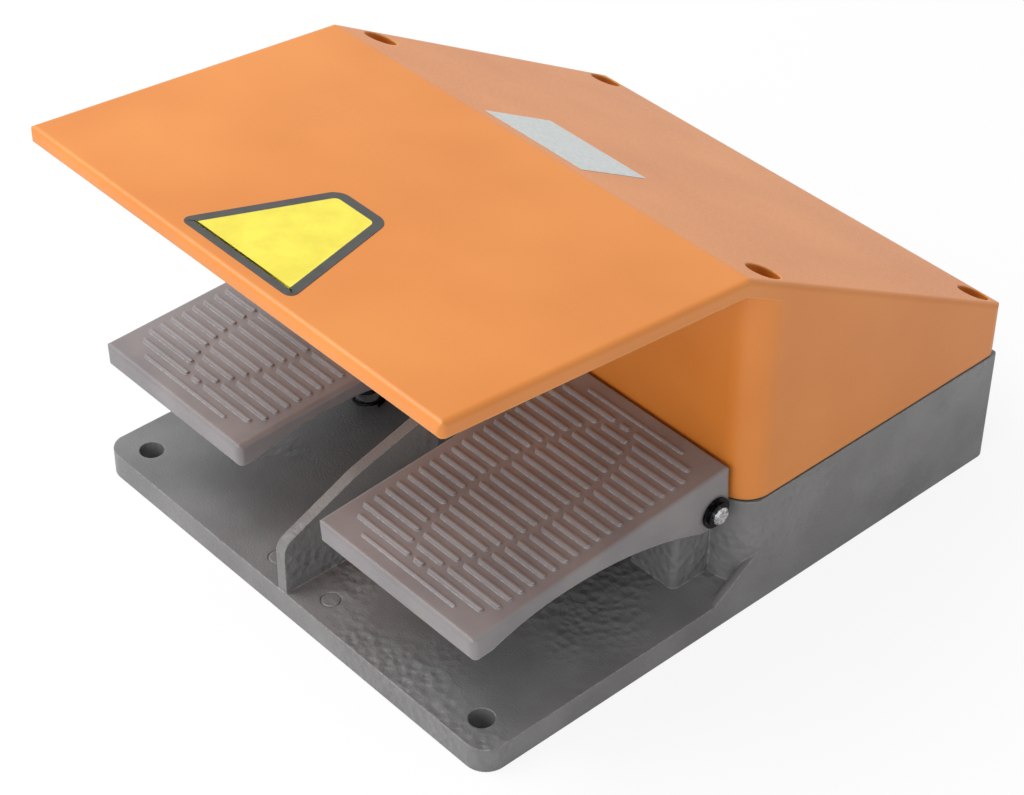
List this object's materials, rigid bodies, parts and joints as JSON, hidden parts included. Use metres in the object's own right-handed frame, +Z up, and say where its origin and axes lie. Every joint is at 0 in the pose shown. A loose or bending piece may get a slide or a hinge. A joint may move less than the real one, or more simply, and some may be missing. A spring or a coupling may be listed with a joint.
{
  "type": "industrial foot switch",
  "caption": "Guarded twin-pedal foot switch: cast base, hooded cover over two sprung treadles that push rods onto snap-action switches, with a cable gland behind.",
  "frame": {"origin": "on the floor face, under the middle of the whole part's box", "axes": "+Z up, +Y towards the rear wall and its cable gland, +X to the right of someone whose feet point at the pedals"},
  "size_m": [0.25, 0.3406, 0.1858],
  "materials": {
    "grey_casting_paint": "semi-gloss grey paint over a rough casting, with a hammered grain",
    "orange_powder_coat": "satin orange powder coat with a very fine orange peel",
    "black_rubber": "moulded rubber",
    "zinc_steel": "bright zinc-plated turned steel",
    "black_steel": "blackened spring steel",
    "bronze": "turned bearing bronze",
    "brass": "stamped brass",
    "switch_moulding": "dark brown phenolic moulding",
    "white_nylon": "natural white nylon",
    "gland_plastic": "dark grey moulded nylon"
  },
  "bodies": {
    "housing": {"base_casting": "grey_casting_paint", "top_cover": "orange_powder_coat", "cover_gasket": "black_rubber", "cover_screws": "zinc_steel", "left_pivot_pin": "zinc_steel", "right_pivot_pin": "zinc_steel", "left_pin_clips": "black_steel", "right_pin_clips": "black_steel", "left_pivot_spacers": "white_nylon", "right_pivot_spacers": "white_nylon", "left_return_spring": "black_steel", "right_return_spring": "black_steel", "left_rod_bush": "bronze", "right_rod_bush": "bronze", "left_rod_seal": "black_rubber", "right_rod_seal": "black_rubber", "left_switch_case": "switch_moulding", "right_switch_case": "switch_moulding", "left_switch_terminals": "brass", "right_switch_terminals": "brass", "switch_plate": "zinc_steel", "plate_screws": "zinc_steel", "switch_screws": "zinc_steel", "switch_nuts": "zinc_steel", "terminal_block": "white_nylon", "terminal_screws": "zinc_steel", "block_screws": "zinc_steel", "earth_screw": "brass", "earth_washer": "zinc_steel", "gland_body": "gland_plastic", "gland_washer": "black_rubber", "gland_locknut": "gland_plastic", "gland_seal": "black_rubber", "gland_cap": "gland_plastic"},
    "left_treadle": {"left_pedal": "grey_casting_paint"},
    "left_plunger": {"left_push_rod": "zinc_steel", "left_rod_clip": "black_steel"},
    "left_button": {"left_switch_button": "white_nylon"},
    "right_treadle": {"right_pedal": "grey_casting_paint"},
    "right_plunger": {"right_push_rod": "zinc_steel", "right_rod_clip": "black_steel"},
    "right_button": {"right_switch_button": "white_nylon"}
  },
  "joints": [
    {"name": "left_pedal_pivot", "type": "hinge", "parent": "housing", "child": "left_treadle", "pos_m": [-0.0732, -0.02053, 0.0555], "axis": [1, 0, 0], "range_deg": [0, 10.2], "stiffness_Nm_per_rad": 15, "springref_deg": -11.46, "deforming": ["left_return_spring"]},
    {"name": "left_rod_slide", "type": "slide", "parent": "housing", "child": "left_plunger", "axis": [0, 1, 0], "range_m": [0, 0.0039]},
    {"name": "left_button_slide", "type": "slide", "parent": "housing", "child": "left_button", "axis": [0, 1, 0], "range_m": [0, 0.0039]},
    {"name": "right_pedal_pivot", "type": "hinge", "parent": "housing", "child": "right_treadle", "pos_m": [0.07, -0.02053, 0.0555], "axis": [1, 0, 0], "range_deg": [0, 8.1], "stiffness_Nm_per_rad": 15, "springref_deg": -11.46, "deforming": ["right_return_spring"]},
    {"name": "right_rod_slide", "type": "slide", "parent": "housing", "child": "right_plunger", "axis": [0, 1, 0], "range_m": [0, 0.0033]},
    {"name": "right_button_slide", "type": "slide", "parent": "housing", "child": "right_button", "axis": [0, 1, 0], "range_m": [0, 0.0033]}
  ],
  "couplings": [
    {"joint": "left_rod_slide", "follows": "left_pedal_pivot", "m_per_rad": 0.021812},
    {"joint": "left_button_slide", "follows": "left_pedal_pivot", "m_per_rad": 0.021812},
    {"joint": "right_rod_slide", "follows": "right_pedal_pivot", "m_per_rad": 0.02177},
    {"joint": "right_button_slide", "follows": "right_pedal_pivot", "m_per_rad": 0.02177}
  ]
}
